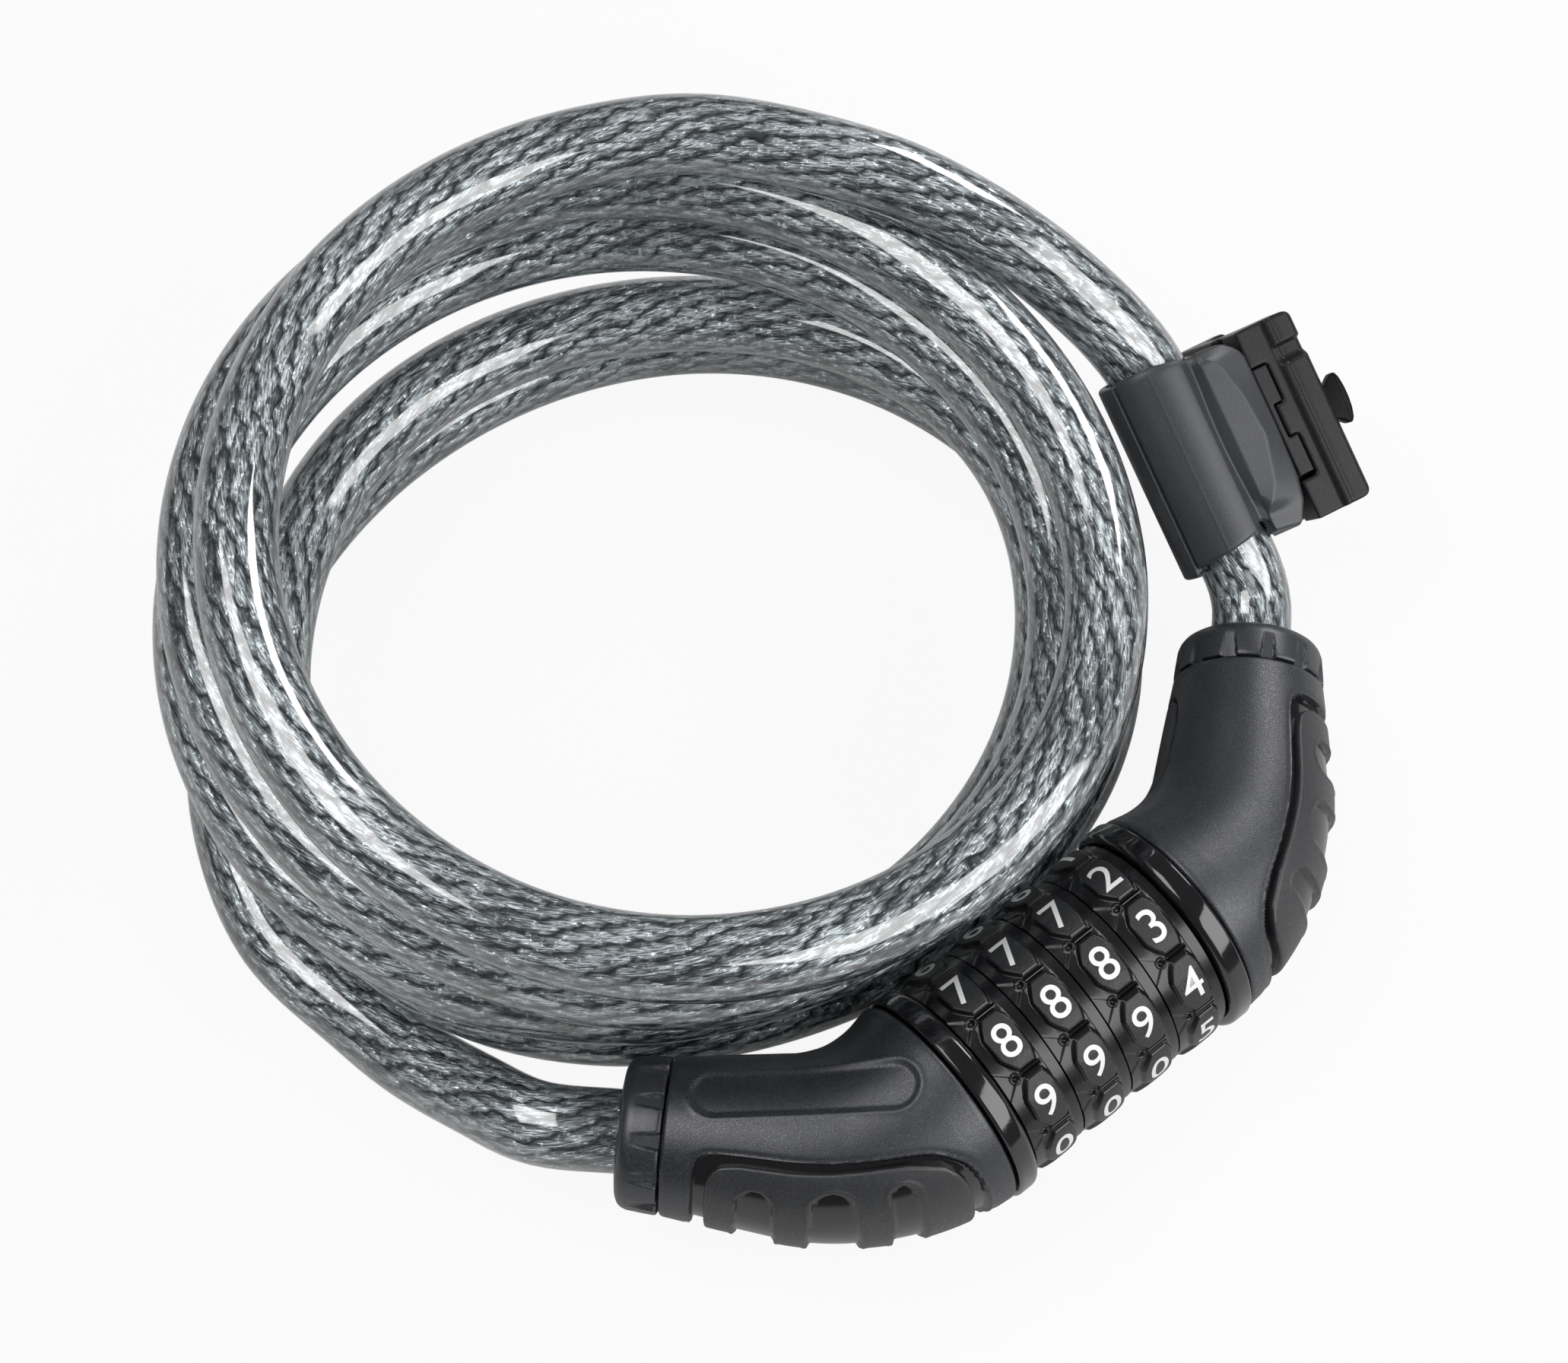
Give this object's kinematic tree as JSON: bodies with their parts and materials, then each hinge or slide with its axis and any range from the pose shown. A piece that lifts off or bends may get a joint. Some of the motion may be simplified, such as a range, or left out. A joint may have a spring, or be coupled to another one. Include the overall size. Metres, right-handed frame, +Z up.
{
  "type": "coiled cable lock",
  "caption": "Combination cable lock: a dial barrel between elbow housings on a coiled sheathed steel cable, with a frame bracket.",
  "frame": {"origin": "bottom centre of the lock's head, on the surface that it lies on", "axes": "+X along the dial barrel from the plug to the socket, +Z up, the coil lies on the +Y side"},
  "size_m": [0.1807, 0.1715, 0.0632],
  "materials": {
    "housing": "fine spark-eroded grain",
    "collar": "fine grain",
    "grip": "satin rubber",
    "ring": "polished",
    "dial": "polished, grained digit faces",
    "brass": "turned",
    "steel": "ground",
    "crimp": "crimped",
    "cable": "smoke-clear sheath over steel strands",
    "bracket_shell": "satin moulded",
    "bracket_body": "satin moulded",
    "liner": "matt rubber",
    "hook": "matt rubber"
  },
  "bodies": {
    "socket_side": {"socket_housing": "housing", "socket_collar": "collar", "socket_outer_grip": "grip", "socket_inner_grip": "grip", "socket_ring": "ring", "plug_side_ring": "ring", "barrel_tube": "steel", "wave_washer": "steel", "socket_ferrule": "crimp", "coil": "cable", "socket_lead": "cable", "plug_lead": "cable", "bracket_clip": "bracket_shell", "bracket_liner": "liner"},
    "dial_1": {"dial_1": "dial", "code_wheel_1": "brass"},
    "dial_2": {"dial_2": "dial", "code_wheel_2": "brass"},
    "dial_3": {"dial_3": "dial", "code_wheel_3": "brass"},
    "dial_4": {"dial_4": "dial", "code_wheel_4": "brass"},
    "plug": {"plug_housing": "housing", "plug_collar": "collar", "plug_outer_grip": "grip", "plug_inner_grip": "grip", "locking_shaft": "steel", "plug_ferrule": "crimp", "plug_cable_end": "cable"},
    "tube_bracket": {"bracket_base": "bracket_body", "saddle_pad": "liner", "strap_hook": "hook"},
    "latch": {"bracket_latch": "bracket_shell"}
  },
  "joints": [
    {"name": "dial_1_turn", "type": "hinge", "parent": "socket_side", "child": "dial_1", "pos_m": [-0.0135, -0.0077, 0.01725], "axis": [1, 0, 0], "continuous": true},
    {"name": "dial_2_turn", "type": "hinge", "parent": "socket_side", "child": "dial_2", "pos_m": [-0.0045, -0.0077, 0.01725], "axis": [1, 0, 0], "continuous": true},
    {"name": "dial_3_turn", "type": "hinge", "parent": "socket_side", "child": "dial_3", "pos_m": [0.0045, -0.0077, 0.01725], "axis": [1, 0, 0], "continuous": true},
    {"name": "dial_4_turn", "type": "hinge", "parent": "socket_side", "child": "dial_4", "pos_m": [0.0135, -0.0077, 0.01725], "axis": [1, 0, 0], "continuous": true},
    {"name": "plug_draw", "type": "slide", "parent": "socket_side", "child": "plug", "axis": [-1, 0, 0], "range_m": [0, 0.045], "deforming": ["plug_lead"]},
    {"name": "bracket_slide", "type": "slide", "parent": "socket_side", "child": "tube_bracket", "axis": [0.1618, 0.8818, 0.4431], "range_m": [0, 0.034]},
    {"name": "latch_press", "type": "slide", "parent": "tube_bracket", "child": "latch", "axis": [0.08, 0.4358, -0.8965], "range_m": [0, 0.001], "stiffness_N_per_m": 400}
  ]
}
